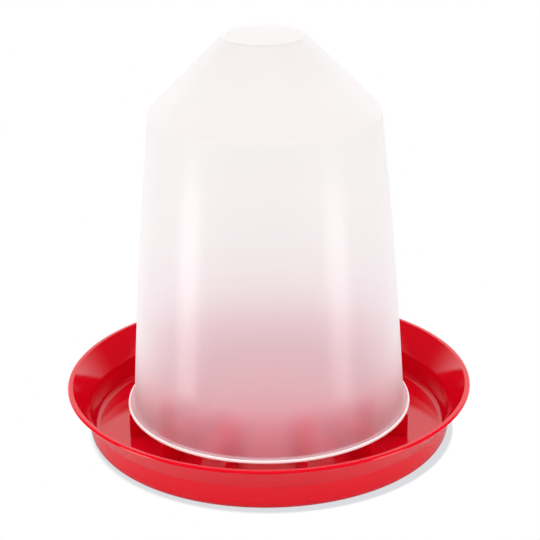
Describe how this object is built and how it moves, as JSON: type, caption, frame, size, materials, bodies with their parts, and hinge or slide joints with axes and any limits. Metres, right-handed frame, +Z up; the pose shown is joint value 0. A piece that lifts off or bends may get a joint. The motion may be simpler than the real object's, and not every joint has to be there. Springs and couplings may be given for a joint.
{
  "type": "aviary bird feeder",
  "caption": "Free-standing gravity feeder for birds: a round trough with a spreading cone and fins, and a closed translucent hopper standing on the fins.",
  "frame": {"origin": "on the ground, under the middle of the tray", "axes": "+Z up along the common axis of the tray and the hopper; the fins stand at 15 degrees and every 30 degrees from there, so +X and +Y each point through the middle of a feed gap"},
  "size_m": [0.3, 0.3, 0.3011],
  "materials": {
    "tray": "glossy red injection-moulded polypropylene",
    "hopper": "natural, milky and translucent injection-moulded polypropylene with a satin sheen"
  },
  "bodies": {
    "root": {"tray": "tray", "hopper": "hopper"}
  },
  "joints": []
}
